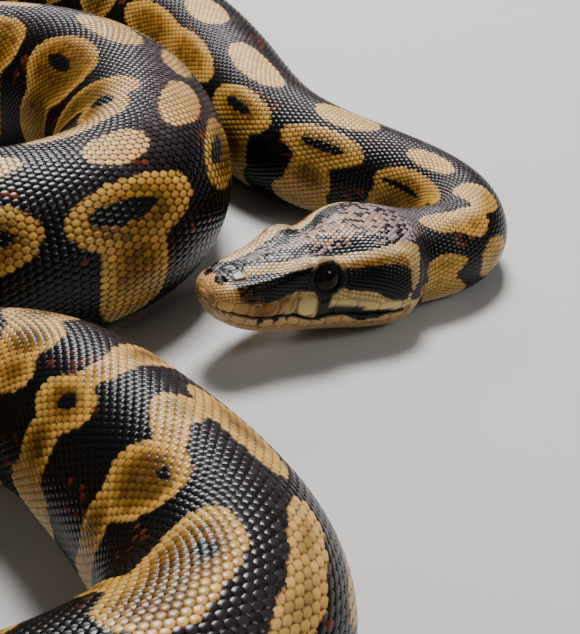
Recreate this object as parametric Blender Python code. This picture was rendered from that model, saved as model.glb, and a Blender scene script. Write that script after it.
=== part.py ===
"""A ball python at rest in loose loops, life size, about 1.04 m from snout to tail tip.

The animal is one closed tube, lofted along a centreline that lies on the floor. The centreline starts at the
snout, runs straight through the head, turns at the nape and follows the loops of the body to the tail tip.
Each cross-section is worked out from four profiles: half-width, top, widest level and underside. The tube is
divided with thin cuts into a head, a neck, nine lengths of trunk and a tail. The lower jaw is parted from the
head along the mouth, and each eye sits in a socket of its own.
"""

import math

import bmesh
import bpy
import numpy as np
from mathutils import Matrix, Vector

MM = 0.001

# Head: straight from the snout to the nape, turned, lifted and tilted as one piece. Behind it the neck comes
# down to the floor, and each section is square to the line over a short reach before and behind it.
NAPE = 44.9 * MM
HEAD_YAW = math.radians(36.0)
HEAD_PITCH = math.radians(12.5)
HEAD_TILT = math.radians(4.0)
NAPE_LIFT = 1.8 * MM
NECK_SETTLES = 28.0 * MM
TURN_REACH = 3.0 * MM
SNOUT_ROUNDING = 3.2 * MM
SNOUT_CENTRE = 5.8 * MM
SNOUT_FLAT = 0.12 * MM
HEAD_SQUARENESS = 0.12
SQUARE_FADES = (30 * MM, 60 * MM)

# Lower jaw: hinged this far back, and cut out with a block that stands clear of the head in front and below.
JAW_HINGE = 44.0 * MM
JAW_ROOM = 4.0 * MM
JAW_BLOCK_WIDTH = 50.0 * MM
MOUTH_POINTS = 13

# Eyes: a ball of this radius, sunk below the surface of the head.
EYE_STATION = 22.3 * MM
EYE_ANGLE = math.radians(63.0)
EYE_RADIUS = 3.7 * MM
EYE_DEPTH = 2.7 * MM

# Body: round, with a flat along the belly wherever it lies on the floor.
BELLY_SINK = 0.055
CUT = 0.3 * MM
HEAD_SIDES, BODY_SIDES = 28, 20
HEAD_STEP, FINE_STEP, BODY_STEP = 2.0 * MM, 5.0 * MM, 7.0 * MM

# The point of the floor under the middle of the whole animal, in the frame that the loops are laid out in.
MIDDLE = Vector((-56.9 * MM, 1.9 * MM, 0.0))

# Where the centreline passes, in millimetres on the floor, from the nape backwards.
NECK_LOOP = [(17.5, 9.5), (28, 14.2), (36, 22), (34, 35.5), (21, 47)]
FAR_RUN = [(0, 62.5), (-15.5, 93.5), (-43, 139)]
BACK_LOOP = [(-92, 160), (-129, 125), (-102, 89.5)]
MIDDLE_LOOP = [(-60.5, 82), (-43.5, 68.5), (-33.5, 43), (-35.5, 15), (-60, -2.5)]
OUTER_LOOP = [(-112, -14), (-140, -66), (-120, -126), (-64, -155), (-15.5, -131)]
NEAR_RUN = [(-9, -113.5), (-16, -90.5), (-28, -70), (-44, -51.5), (-68, -47)]
TAIL_CURL = [(-101, -66), (-101, -98), (-79, -110.4)]
ROUTE = NECK_LOOP + FAR_RUN + BACK_LOOP + MIDDLE_LOOP + OUTER_LOOP + NEAR_RUN + TAIL_CURL

# Profiles along the animal: millimetres from the snout, and millimetres of size there.
HALF_WIDTH = [(0, 4.8), (3, 6.0), (7, 7.5), (12, 8.9), (18, 10.0), (23, 10.9), (28, 12.3), (34, 14.2),
              (39, 15.0), (43, 14.4), (47, 12.6), (52, 10.6), (60, 9.8), (80, 10.2), (102, 11.6),
              (127, 13.2), (157, 14.6), (217, 16.8), (297, 18.6), (397, 19.5), (557, 20.0), (717, 19.9),
              (797, 19.4), (857, 18.4), (897, 16.8), (937, 14.4), (972, 11.0), (1002, 7.2), (1025, 3.8),
              (1038, 1.2)]
HEAD_TOP = [(0, 7.6), (3, 8.6), (7, 10.2), (12, 12.0), (18, 13.9), (23, 15.4), (28, 17.0), (34, 18.6),
            (38, 19.2), (44, 19.2), (50, 18.8), (56, 18.8), (63, 19.1)]
HEAD_WIDEST = [(0, 5.2), (7, 5.0), (17, 5.3), (23, 6.0), (30, 6.8), (38, 7.4), (44, 7.8), (52, 8.6),
               (63, 9.3)]
HEAD_UNDER = [(0, 2.6), (3, 0.2), (7, -1.7), (12, -2.8), (20, -3.2), (28, -3.1), (36, -3.0), (43, -2.6),
              (48, -1.6), (54, -0.8), (63, -0.5)]
MOUTH_LEVEL = [(-4, 4.8), (0, 4.0), (7, 3.0), (14, 2.6), (25, 3.1), (33, 3.9), (39, 4.8), (44, 5.6)]

# The head's section turns into the body's plain one over this stretch of the neck.
NECK_BLEND = (53.0 * MM, 62.0 * MM)

# What stands out from the plain section, or sinks into it, on both sides of the head: height in millimetres,
# place and half-length along the head in millimetres, place and half-width around it in degrees from the top.
HEAD_BULGES = {"brow": (2.1, 21, 5.5, 40, 15), "temple": (0.7, 38, 8, 48, 22),
               "crown groove": (-0.5, 39, 9, 0, 16), "loreal hollow": (-0.8, 14, 6, 72, 16),
               "muzzle ridge": (0.4, 11, 9, 42, 12)}

# Lengths that the tube is cut into: name and where it ends.
LENGTHS = [("neck", 107), ("trunk_1", 207), ("trunk_2", 297), ("trunk_3", 392), ("trunk_4", 465),
           ("trunk_5", 542), ("trunk_6", 637), ("trunk_7", 797), ("trunk_8", 877), ("trunk_9", 949),
           ("tail", 1038)]
HEAD_END = 54.0 * MM


def profile(stations, s):
    """The value of a profile at s, on a smooth curve through its stations."""
    where, value = (np.array(column, float) * MM for column in zip(*stations))
    i = int(np.clip(np.searchsorted(where, s) - 1, 0, len(where) - 2))
    slope = np.gradient(value, where)
    span = where[i + 1] - where[i]
    x = min(max((s - where[i]) / span, 0.0), 1.0)
    rise = (1 + 2 * x) * (1 - x) ** 2 * value[i] + x * x * (3 - 2 * x) * value[i + 1]
    lean = x * (1 - x) ** 2 * slope[i] - x * x * (1 - x) * slope[i + 1]
    return rise + lean * span


def smooth_step(low, high, s):
    x = min(max((s - low) / (high - low), 0.0), 1.0)
    return x * x * (3 - 2 * x)


def bell(s, centre, width):
    return math.exp(-((s - centre) / width) ** 2)


def spline_bends(knots, points, start_slope):
    """The second derivatives of the cubic spline that leaves its first point along start_slope."""
    count = len(knots)
    gaps = np.diff(knots)
    matrix, right = np.zeros((count, count)), np.zeros((count, 2))
    matrix[0, :2] = 2 * gaps[0], gaps[0]
    right[0] = 6 * ((points[1] - points[0]) / gaps[0] - start_slope)
    matrix[-1, -1] = 1
    for i in range(1, count - 1):
        matrix[i, i - 1:i + 2] = gaps[i - 1], 2 * (gaps[i - 1] + gaps[i]), gaps[i]
        right[i] = 6 * ((points[i + 1] - points[i]) / gaps[i] - (points[i] - points[i - 1]) / gaps[i - 1])
    return np.linalg.solve(matrix, right)


def lay_route(samples=4000):
    """The centreline on the floor behind the nape: distances from the snout and the points there."""
    points = np.array(ROUTE, float) * MM
    knots = np.r_[0, np.cumsum(np.linalg.norm(np.diff(points, axis=0), axis=1) ** 0.8)]
    heading = np.array((math.cos(HEAD_YAW), math.sin(HEAD_YAW)))
    bends = spline_bends(knots, points, heading * np.linalg.norm(points[1] - points[0]) / knots[1])
    t = np.linspace(0, knots[-1], samples)
    i = np.clip(np.searchsorted(knots, t, side="right") - 1, 0, len(knots) - 2)
    gap = np.diff(knots)[i][:, None]
    near = (knots[i + 1][:, None] - t[:, None]) / gap
    far = 1 - near
    curve = near * points[i] + far * points[i + 1]
    curve += ((near ** 3 - near) * bends[i] + (far ** 3 - far) * bends[i + 1]) * gap ** 2 / 6
    run = np.r_[0, np.cumsum(np.linalg.norm(np.diff(curve, axis=0), axis=1))]
    return NAPE + run, curve


ROUTE_RUN, ROUTE_CURVE = lay_route()


def head_axes():
    """Backwards, left and up in the head."""
    turn = Matrix.Rotation(HEAD_YAW, 3, "Z") @ Matrix.Rotation(HEAD_PITCH, 3, "Y")
    turn = turn @ Matrix.Rotation(HEAD_TILT, 3, "X")
    return turn @ Vector((1, 0, 0)), turn @ Vector((0, -1, 0)), turn @ Vector((0, 0, 1))


def underside(s):
    """The point of the line that runs along the animal's underside, level with the floor behind the neck."""
    start = Vector((*ROUTE_CURVE[0], NAPE_LIFT))
    if s <= NAPE:
        return start - head_axes()[0] * (NAPE - s)
    x = min((s - NAPE) / NECK_SETTLES, 1.0)
    fall = -math.tan(HEAD_PITCH) * NECK_SETTLES * x * (1 - x) ** 2
    lift = NAPE_LIFT * (1 + 2 * x) * (1 - x) ** 2 + fall
    return Vector((*(np.interp(s, ROUTE_RUN, ROUTE_CURVE[:, k]) for k in range(2)), lift))


def axes_at(s):
    """Backwards, left and up at s: the head's own, turning into level ones along the nape."""
    back, _, up = head_axes()
    level = smooth_step(NAPE - TURN_REACH, NAPE + NECK_SETTLES, s)
    if s > NAPE - TURN_REACH:
        back = (underside(s + TURN_REACH) - underside(s - TURN_REACH)).normalized()
    up = up.lerp(Vector((0, 0, 1)), level)
    left = back.cross(up).normalized()
    return back, left, left.cross(back)


def head_relief(s, angle):
    """How far the head's bulges and hollows stand out from the plain section."""
    side = abs(math.degrees(angle))
    return MM * sum(height * bell(s, where * MM, length * MM) * bell(side, level, spread)
                    for height, where, length, level, spread in HEAD_BULGES.values())


def section(s, angle):
    """The point of the cross-section at an angle from the top, as left and up from the underside line."""
    width = profile(HALF_WIDTH, s)
    body_middle, body_top = width * (1 - BELLY_SINK), width * (2 - BELLY_SINK)
    blend = smooth_step(*NECK_BLEND, s)
    top = profile(HEAD_TOP, s) * (1 - blend) + body_top * blend
    middle = profile(HEAD_WIDEST, s) * (1 - blend) + body_middle * blend
    under = profile(HEAD_UNDER, s) * (1 - blend) - width * BELLY_SINK * blend
    boxy = 1 - HEAD_SQUARENESS * (1 - smooth_step(*SQUARE_FADES, s))
    across = math.copysign(abs(math.sin(angle)) ** boxy, math.sin(angle)) * width
    tall = (top if math.cos(angle) > 0 else under) - middle
    height = middle + abs(math.cos(angle)) ** boxy * tall
    relief = head_relief(s, angle)
    across += math.sin(angle) * relief
    height += math.cos(angle) * relief
    if s < SNOUT_ROUNDING:
        shrink = math.sqrt(1 - (1 - max(s, SNOUT_FLAT) / SNOUT_ROUNDING) ** 2)
        across, height = across * shrink, SNOUT_CENTRE + (height - SNOUT_CENTRE) * shrink
    return across, height


def surface(s, angle):
    _, left, up = axes_at(s)
    across, height = section(s, angle)
    point = underside(s) + left * across + up * height
    point.z = max(point.z, 0.0)
    return point


def loft(start, end, step, sides):
    """A closed length of the animal: a ring of edges drawn back station by station, then capped."""
    shape = bmesh.new()
    stations = np.linspace(start, end, max(2, round((end - start) / step) + 1))
    ring = bmesh.ops.create_circle(shape, segments=sides, radius=1.0)["verts"]
    first = list(shape.edges)
    edges = first
    for count, s in enumerate(stations):
        if count:
            grown = bmesh.ops.extrude_edge_only(shape, edges=edges)["geom"]
            new = [part for part in grown if isinstance(part, bmesh.types.BMVert)]
            follows = {v: next(e.other_vert(v) for e in v.link_edges if e.other_vert(v) in ring) for v in new}
            ring = sorted(new, key=lambda v: order[follows[v]])
            edges = [part for part in grown if isinstance(part, bmesh.types.BMEdge) and
                     all(v in follows for v in part.verts)]
        order = {v: i for i, v in enumerate(ring)}
        for i, vert in enumerate(ring):
            vert.co = surface(s, 2 * math.pi * i / sides)
    bmesh.ops.contextual_create(shape, geom=first)
    bmesh.ops.contextual_create(shape, geom=edges)
    bmesh.ops.recalc_face_normals(shape, faces=shape.faces)
    return shape


def material(name, colour, roughness):
    made = bpy.data.materials.new(name)
    made.use_nodes = True
    shader = made.node_tree.nodes["Principled BSDF"]
    shader.inputs["Base Color"].default_value = (*colour, 1.0)
    shader.inputs["Roughness"].default_value = roughness
    shader.inputs["Metallic"].default_value = 0.0
    return made


def add_object(name, shape, colour, roughness):
    """An object at the animal's own origin, with its own material and smooth shading."""
    mesh = bpy.data.meshes.new(name)
    shape.to_mesh(mesh)
    shape.free()
    mesh.shade_smooth()
    mesh.set_sharp_from_angle(angle=math.radians(50))
    mesh.materials.append(material(name + "_finish", colour, roughness))
    made = bpy.data.objects.new(name, mesh)
    bpy.context.scene.collection.objects.link(made)
    made.parent = bpy.data.objects["python_middle"]
    return made


def cut_with(piece, cutter, operation):
    """A live Boolean on the piece. The cutter stays out of the render."""
    cutter.hide_render = True
    cutter.display_type = "WIRE"
    boolean = piece.modifiers.new(cutter.name, "BOOLEAN")
    boolean.operation = operation
    boolean.object = cutter
    boolean.solver = "EXACT"


def jaw_block(name, clearance):
    """A block that holds everything below the mouth, from in front of the snout back to the jaw's hinge."""
    block = bmesh.new()
    back, left, up = head_axes()
    front, hinge, low = -JAW_ROOM, JAW_HINGE + clearance, -3 * JAW_ROOM
    mouth = [(s, profile(MOUTH_LEVEL, s) + clearance) for s in np.linspace(front, hinge, MOUTH_POINTS)]
    side = -left * JAW_BLOCK_WIDTH / 2
    corners = [block.verts.new(underside(s) + up * height + side) for s, height in
               mouth + [(hinge, low), (front, low)]]
    face = block.faces.new(corners)
    grown = bmesh.ops.extrude_face_region(block, geom=[face])["geom"]
    moved = [part for part in grown if isinstance(part, bmesh.types.BMVert)]
    bmesh.ops.translate(block, verts=moved, vec=left * JAW_BLOCK_WIDTH)
    bmesh.ops.recalc_face_normals(block, faces=block.faces)
    return add_object(name, block, (0.5, 0.5, 0.5), 0.5)


def eye_ball(name, side, radius):
    """A ball below the surface at the eye's station, on the side given by +1 for left or -1 for right."""
    rim = surface(EYE_STATION, side * EYE_ANGLE)
    reach, turn = EYE_RADIUS / 2, 0.2
    fore = surface(EYE_STATION - reach, side * EYE_ANGLE) - surface(EYE_STATION + reach, side * EYE_ANGLE)
    low = surface(EYE_STATION, side * (EYE_ANGLE + turn)) - surface(EYE_STATION, side * (EYE_ANGLE - turn))
    outward = side * fore.cross(low).normalized()
    ball = bmesh.new()
    bmesh.ops.create_uvsphere(ball, u_segments=18, v_segments=12, radius=radius)
    bmesh.ops.translate(ball, verts=ball.verts, vec=rim - outward * EYE_DEPTH)
    return add_object(name, ball, (0.015, 0.012, 0.012), 0.08)


def make_head():
    """The head with its sockets and, parted from it along the mouth, the lower jaw."""
    head = add_object("head", loft(0, HEAD_END - CUT / 2, HEAD_STEP, HEAD_SIDES), (0.16, 0.12, 0.08), 0.45)
    jaw = add_object("lower_jaw", loft(0, HEAD_END - CUT / 2, HEAD_STEP, HEAD_SIDES), (0.42, 0.28, 0.13), 0.5)
    cut_with(jaw, jaw_block("jaw_shape", 0.0), "INTERSECT")
    cut_with(head, jaw_block("jaw_room", CUT), "DIFFERENCE")
    for side, word in ((1, "left"), (-1, "right")):
        eye_ball("eye_" + word, side, EYE_RADIUS)
        socket = eye_ball("socket_" + word, side, EYE_RADIUS + CUT)
        cut_with(head, socket, "DIFFERENCE")


def make_body():
    """The neck, the trunk and the tail, each ending in a flat cut."""
    start = HEAD_END
    for name, end in LENGTHS:
        step = FINE_STEP if name in ("neck", "tail") else BODY_STEP
        shape = loft(start + CUT / 2, end * MM - CUT / 2, step, BODY_SIDES)
        add_object(name, shape, (0.09, 0.06, 0.035), 0.42)
        start = end * MM


def main():
    for old in list(bpy.data.objects):
        bpy.data.objects.remove(old)
    middle = bpy.data.objects.new("python_middle", None)
    bpy.context.scene.collection.objects.link(middle)
    middle.location = -MIDDLE
    make_head()
    make_body()
    bpy.context.view_layer.update()


main()
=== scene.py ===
# %% [markdown]
# # A ball python at rest, in loose loops
#
# The animal is a still, life-size model, like one in a museum. It is 1.04 m long and lies in a coil about
# 0.2 m by 0.35 m. The construction is already there: a frame of simple closed solids for the head, the lower
# jaw, the eyes, the neck, nine lengths of trunk and the tail. This lesson dresses that frame. It makes one
# skin without seams, covers it with tens of thousands of overlapping scales, and paints both with one rule.

# %% Load the frame
import math

import bmesh
import bpy
import numpy as np
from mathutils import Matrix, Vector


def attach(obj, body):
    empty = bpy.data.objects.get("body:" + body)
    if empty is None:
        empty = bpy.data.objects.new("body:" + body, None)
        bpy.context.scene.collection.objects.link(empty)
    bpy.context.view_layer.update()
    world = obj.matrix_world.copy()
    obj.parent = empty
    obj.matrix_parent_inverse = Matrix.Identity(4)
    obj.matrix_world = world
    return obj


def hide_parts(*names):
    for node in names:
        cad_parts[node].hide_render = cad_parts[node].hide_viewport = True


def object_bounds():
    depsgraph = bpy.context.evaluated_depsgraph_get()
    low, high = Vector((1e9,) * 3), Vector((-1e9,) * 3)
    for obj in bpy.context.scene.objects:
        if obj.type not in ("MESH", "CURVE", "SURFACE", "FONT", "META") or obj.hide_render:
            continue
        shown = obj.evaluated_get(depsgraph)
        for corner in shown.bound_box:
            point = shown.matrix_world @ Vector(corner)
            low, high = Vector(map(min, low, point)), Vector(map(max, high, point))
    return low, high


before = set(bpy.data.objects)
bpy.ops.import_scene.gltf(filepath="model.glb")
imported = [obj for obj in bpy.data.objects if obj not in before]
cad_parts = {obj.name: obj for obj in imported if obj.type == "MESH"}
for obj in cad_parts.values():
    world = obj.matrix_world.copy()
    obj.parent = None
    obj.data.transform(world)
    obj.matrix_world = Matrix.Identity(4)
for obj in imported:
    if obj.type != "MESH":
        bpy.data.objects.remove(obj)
cad_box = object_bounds()
MM = 0.001
FLESH = [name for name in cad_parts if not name.startswith("eye_")]
low, high = (np.array(corner) for corner in cad_box)
print("frame:", len(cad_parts), "solids,", [round(float(v) / MM) for v in high - low], "mm")

# %% [markdown]
# ## The camera
#
# A long lens from near the floor, as for a portrait: it looks down at 30 degrees and sees the head from its
# left, with the neck and the far loops behind it and one thick loop close in front. The sensor's width spans
# the longer side of the frame.

# %% The camera
CAMERA_PLACE = (56.9 * MM, -313.9 * MM, 182.4 * MM)
CAMERA_PITCH = math.radians(60)
SENSOR, LENS = 36.0, 100.5


def add_object(name, data):
    """A new object in the scene that holds the given data."""
    thing = bpy.data.objects.new(name, data)
    bpy.context.scene.collection.objects.link(thing)
    return thing


camera = add_object("camera", bpy.data.cameras.new("camera"))
camera.data.sensor_width = SENSOR
camera.data.lens = LENS
camera.data.clip_start = 0.01
camera.location = CAMERA_PLACE
camera.rotation_euler = (CAMERA_PITCH, 0, 0)
bpy.context.scene.camera = camera

# %% [markdown]
# ## The line of the body
#
# A snake is a tube that bends along one line. The line is laid on the floor with a handful of points a loop,
# and a cubic spline runs through them: its second derivatives come from one small set of linear equations.
# The first stretch, through the head, is straight. Everything later is placed by two numbers: the station,
# which is the distance from the snout, and the angle around the body from its top, positive to its left.

# %% The line of the body
NAPE = 44.9 * MM
HEAD_YAW, HEAD_PITCH, HEAD_TILT = (math.radians(turn) for turn in (36.0, 12.5, 4.0))
MIDDLE = np.array((-56.9, 1.9)) * MM
NECK_LOOP = [(17.5, 9.5), (28, 14.2), (36, 22), (34, 35.5), (21, 47)]
FAR_RUN = [(0, 62.5), (-15.5, 93.5), (-43, 139)]
BACK_LOOP = [(-92, 160), (-129, 125), (-102, 89.5)]
MIDDLE_LOOP = [(-60.5, 82), (-43.5, 68.5), (-33.5, 43), (-35.5, 15), (-60, -2.5)]
OUTER_LOOP = [(-112, -14), (-140, -66), (-120, -126), (-64, -155), (-15.5, -131)]
NEAR_RUN = [(-9, -113.5), (-16, -90.5), (-28, -70), (-44, -51.5), (-68, -47)]
TAIL_CURL = [(-101, -66), (-101, -98), (-79, -110.4)]
ROUTE = NECK_LOOP + FAR_RUN + BACK_LOOP + MIDDLE_LOOP + OUTER_LOOP + NEAR_RUN + TAIL_CURL


def spline_bends(knots, points, start_slope):
    """The second derivatives of the cubic spline that leaves its first point along start_slope."""
    count = len(knots)
    gaps = np.diff(knots)
    matrix, right = np.zeros((count, count)), np.zeros((count, 2))
    matrix[0, :2] = 2 * gaps[0], gaps[0]
    right[0] = 6 * ((points[1] - points[0]) / gaps[0] - start_slope)
    matrix[-1, -1] = 1
    for i in range(1, count - 1):
        matrix[i, i - 1:i + 2] = gaps[i - 1], 2 * (gaps[i - 1] + gaps[i]), gaps[i]
        right[i] = 6 * ((points[i + 1] - points[i]) / gaps[i] - (points[i] - points[i - 1]) / gaps[i - 1])
    return np.linalg.solve(matrix, right)


def lay_route(samples=4000):
    """The line on the floor behind the nape: distances from the snout, and the points there."""
    points = np.array(ROUTE, float) * MM - MIDDLE
    knots = np.r_[0, np.cumsum(np.linalg.norm(np.diff(points, axis=0), axis=1) ** 0.8)]
    heading = np.array((math.cos(HEAD_YAW), math.sin(HEAD_YAW)))
    bends = spline_bends(knots, points, heading * np.linalg.norm(points[1] - points[0]) / knots[1])
    t = np.linspace(0, knots[-1], samples)
    i = np.clip(np.searchsorted(knots, t, side="right") - 1, 0, len(knots) - 2)
    gap = np.diff(knots)[i][:, None]
    near = (knots[i + 1][:, None] - t[:, None]) / gap
    far = 1 - near
    curve = near * points[i] + far * points[i + 1]
    curve += ((near ** 3 - near) * bends[i] + (far ** 3 - far) * bends[i + 1]) * gap ** 2 / 6
    run = np.r_[0, np.cumsum(np.linalg.norm(np.diff(curve, axis=0), axis=1))]
    return NAPE + run, curve


ROUTE_RUN, ROUTE_CURVE = lay_route()
print("length from snout to tail tip:", round(ROUTE_RUN[-1] / MM), "mm")

# %% [markdown]
# ## The cross-section
#
# Four profiles say how wide the animal is at each station and where its top, its widest level and its
# underside are. Behind the neck it is round, with a belly that sinks a little into the floor and is cut off
# flat there, so that the weight rests on a broad strip. The head gets a slightly square section and a few
# soft bulges and hollows: brow, temple, crown, loreal hollow and muzzle.

# %% The cross-section
HALF_WIDTH = [(0, 4.8), (3, 6.0), (7, 7.5), (12, 8.9), (18, 10.0), (23, 10.9), (28, 12.3), (34, 14.2),
              (39, 15.0), (43, 14.4), (47, 12.6), (52, 10.6), (60, 9.8), (80, 10.2), (102, 11.6),
              (127, 13.2), (157, 14.6), (217, 16.8), (297, 18.6), (397, 19.5), (557, 20.0), (717, 19.9),
              (797, 19.4), (857, 18.4), (897, 16.8), (937, 14.4), (972, 11.0), (1002, 7.2), (1025, 3.8),
              (1038, 1.2)]
HEAD_TOP = [(0, 7.6), (3, 8.6), (7, 10.2), (12, 12.0), (18, 13.9), (23, 15.4), (28, 17.0), (34, 18.6),
            (38, 19.2), (44, 19.2), (50, 18.8), (56, 18.8), (63, 19.1)]
HEAD_WIDEST = [(0, 5.2), (7, 5.0), (17, 5.3), (23, 6.0), (30, 6.8), (38, 7.4), (44, 7.8), (52, 8.6),
               (63, 9.3)]
HEAD_UNDER = [(0, 2.6), (3, 0.2), (7, -1.7), (12, -2.8), (20, -3.2), (28, -3.1), (36, -3.0), (43, -2.6),
              (48, -1.6), (54, -0.8), (63, -0.5)]
MOUTH_LEVEL = [(-4, 4.8), (0, 4.1), (3, 3.6), (7, 2.85), (10, 2.85), (12, 3.25), (14.5, 3.75), (16.5, 3.5),
               (19, 2.6), (21.5, 2.5), (24, 3.45), (26, 3.8), (30, 3.8), (34, 4.2), (39, 5.1), (44, 5.8)]
HEAD_BULGES = {"brow": (2.1, 21, 5.5, 40, 15), "temple": (0.7, 38, 8, 48, 22),
               "crown groove": (-0.5, 39, 9, 0, 16), "loreal hollow": (-0.8, 14, 6, 72, 16),
               "muzzle ridge": (0.4, 11, 9, 42, 12), "behind the brow": (-1.7, 26, 4.5, 30, 20),
               "muzzle side": (-0.7, 12, 6, 24, 18)}
BELLY_SINK = 0.055
NECK_BLEND = (53 * MM, 62 * MM)
HEAD_SQUARENESS, SQUARE_FADES = 0.12, (30 * MM, 60 * MM)
SNOUT_ROUNDING, SNOUT_CENTRE, SNOUT_FLAT = 3.2 * MM, 5.8 * MM, 0.12 * MM


def profile(stations, s):
    """The value of a profile at s, on a smooth curve through its stations, which are in millimetres."""
    where, value = (np.array(column, float) * MM for column in zip(*stations))
    i = np.clip(np.searchsorted(where, s) - 1, 0, len(where) - 2)
    slope = np.gradient(value, where)
    span = where[i + 1] - where[i]
    x = np.clip((s - where[i]) / span, 0.0, 1.0)
    rise = (1 + 2 * x) * (1 - x) ** 2 * value[i] + x * x * (3 - 2 * x) * value[i + 1]
    lean = x * (1 - x) ** 2 * slope[i] - x * x * (1 - x) * slope[i + 1]
    return rise + lean * span


def smooth_step(low, high, s):
    x = np.clip((s - low) / (high - low), 0.0, 1.0)
    return x * x * (3 - 2 * x)


def bell(x, centre, width):
    return np.exp(-((x - centre) / width) ** 2)


def section(s, angle):
    """The point of the cross-section at an angle from the top, as left and up from the underside line."""
    width = profile(HALF_WIDTH, s)
    blend = smooth_step(*NECK_BLEND, s)
    top = profile(HEAD_TOP, s) * (1 - blend) + width * (2 - BELLY_SINK) * blend
    middle = profile(HEAD_WIDEST, s) * (1 - blend) + width * (1 - BELLY_SINK) * blend
    under = profile(HEAD_UNDER, s) * (1 - blend) - width * BELLY_SINK * blend
    boxy = 1 - HEAD_SQUARENESS * (1 - smooth_step(*SQUARE_FADES, s))
    sine, cosine = np.sin(angle), np.cos(angle)
    across = np.sign(sine) * np.abs(sine) ** boxy * width
    height = middle + np.abs(cosine) ** boxy * (np.where(cosine > 0, top, under) - middle)
    side = np.abs((np.degrees(angle) + 180) % 360 - 180)
    relief = MM * sum(rise * bell(s, where * MM, length * MM) * bell(side, level, spread)
                      for rise, where, length, level, spread in HEAD_BULGES.values())
    across, height = across + sine * relief, height + cosine * relief
    front = np.clip(1 - np.maximum(s, SNOUT_FLAT) / SNOUT_ROUNDING, 0, 1)
    shrink = np.sqrt(1 - front ** 2)
    return across * shrink, SNOUT_CENTRE + (height - SNOUT_CENTRE) * shrink


# %% [markdown]
# ## From two numbers to a point
#
# Each section stands square to the line. In the head its directions are fixed, and along the neck they turn
# until they are level. With them, a station and an angle give a point of the outer surface, and two nearby
# points each way give the directions along and around the body and the one straight out of it. Arrays of
# thousands of stations and angles go through at once, which keeps the script quick.

# %% From two numbers to a point
NAPE_LIFT, NECK_SETTLES, TURN_REACH = 1.8 * MM, 28.0 * MM, 3.0 * MM


def turned(angle, axis):
    """The matrix that turns by an angle about one of the three axes."""
    a, b = [k for k in range(3) if k != axis]
    matrix = np.eye(3)
    sine = math.sin(angle) * (-1 if axis == 1 else 1)
    matrix[a, a] = matrix[b, b] = math.cos(angle)
    matrix[a, b], matrix[b, a] = -sine, sine
    return matrix


HEAD_TURN = turned(HEAD_YAW, 2) @ turned(HEAD_PITCH, 1) @ turned(HEAD_TILT, 0)
HEAD_BACK, HEAD_UP = HEAD_TURN[:, 0], HEAD_TURN[:, 2]


def unit(vectors):
    return vectors / np.maximum(np.linalg.norm(vectors, axis=-1, keepdims=True), 1e-12)


def underside(s):
    """The line along the animal's underside, level with the floor behind the neck."""
    head = np.array((*ROUTE_CURVE[0], NAPE_LIFT)) - HEAD_BACK * (NAPE - s)[..., None]
    x = np.clip((s - NAPE) / NECK_SETTLES, 0, 1)
    lift = NAPE_LIFT * (1 + 2 * x) * (1 - x) ** 2 - math.tan(HEAD_PITCH) * NECK_SETTLES * x * (1 - x) ** 2
    body = np.stack([np.interp(s, ROUTE_RUN, ROUTE_CURVE[:, k]) for k in range(2)] + [lift], -1)
    return np.where((s <= NAPE)[..., None], head, body)


def surface(s, angle):
    """Points of the outer surface, cut off flat at the floor."""
    s, angle = np.broadcast_arrays(np.asarray(s, float), np.asarray(angle, float))
    back = unit(underside(s + TURN_REACH) - underside(s - TURN_REACH))
    back = np.where((s > NAPE - TURN_REACH)[..., None], back, HEAD_BACK)
    level = smooth_step(NAPE - TURN_REACH, NAPE + NECK_SETTLES, s)[..., None]
    left = unit(np.cross(back, HEAD_UP * (1 - level) + np.array((0, 0, 1.0)) * level))
    across, height = section(s, angle)
    point = underside(s) + left * across[..., None] + np.cross(left, back) * height[..., None]
    point[..., 2] = np.maximum(point[..., 2], 0.0)
    return point


def patch(s, angle, reach=0.25 * MM, turn=math.radians(1.2)):
    """Points of the surface, and there the vectors per metre of station and per radian, and straight out."""
    along = (surface(s + reach, angle) - surface(np.maximum(s - reach, 0), angle)) / (2 * reach)
    around = (surface(s, angle + turn) - surface(s, angle - turn)) / (2 * turn)
    return surface(s, angle), along, around, unit(np.cross(around, along))


there, along, around, out = patch(np.array((500 * MM,)), np.array((0.0,)))
print("straight out at the top of the back:", out[0].round(2))

# %% [markdown]
# ## Where the mouth runs
#
# The upper and lower lips meet along a line that is level in the side view: it starts under the tip of the
# snout, dips and then rises to the corner of the jaw. On each side it is found as an angle around the head,
# by halving the interval between the flank and the underside until the section is at the mouth's level.

# %% Where the mouth runs
JAW_HINGE = 42.0 * MM
LIP_START = 0.62 * MM
HALVINGS = 24


def mouth_angle(s):
    """The angle from the top, on the left side, at which the lips meet."""
    s = np.asarray(s, float)
    upper, lower = np.full(s.shape, math.radians(70)), np.full(s.shape, math.pi)
    for _ in range(HALVINGS):
        middle = (upper + lower) / 2
        above = section(s, middle)[1] > profile(MOUTH_LEVEL, s)
        upper, lower = np.where(above, middle, upper), np.where(above, lower, middle)
    return (upper + lower) / 2


def lip_level(s):
    """The angle in degrees at which the lips meet, at a station in mm."""
    return np.degrees(mouth_angle(np.clip(s * MM, LIP_START, JAW_HINGE)))


print("mouth line at 1, 10, 30 mm:", np.degrees(mouth_angle(np.array((1, 10, 30)) * MM)).round())

# %% [markdown]
# ## Markings: where the tan is
#
# The pattern of a ball python is a chain of rounded tan blotches on near-black: keyholes on the flanks with
# a dark eye in each and a foot that runs down to the pale belly, and saddles along the back. Each mark is an
# ellipse, given by its station, its angle, its half-length, its half-angle and, if it slants, its lean. A
# soft union melts neighbours into one blotch, the way that real ones join, and gives the distance to the
# edge in millimetres. The stretches inside the coil get blotches of the same kind from a seeded generator.

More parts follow.
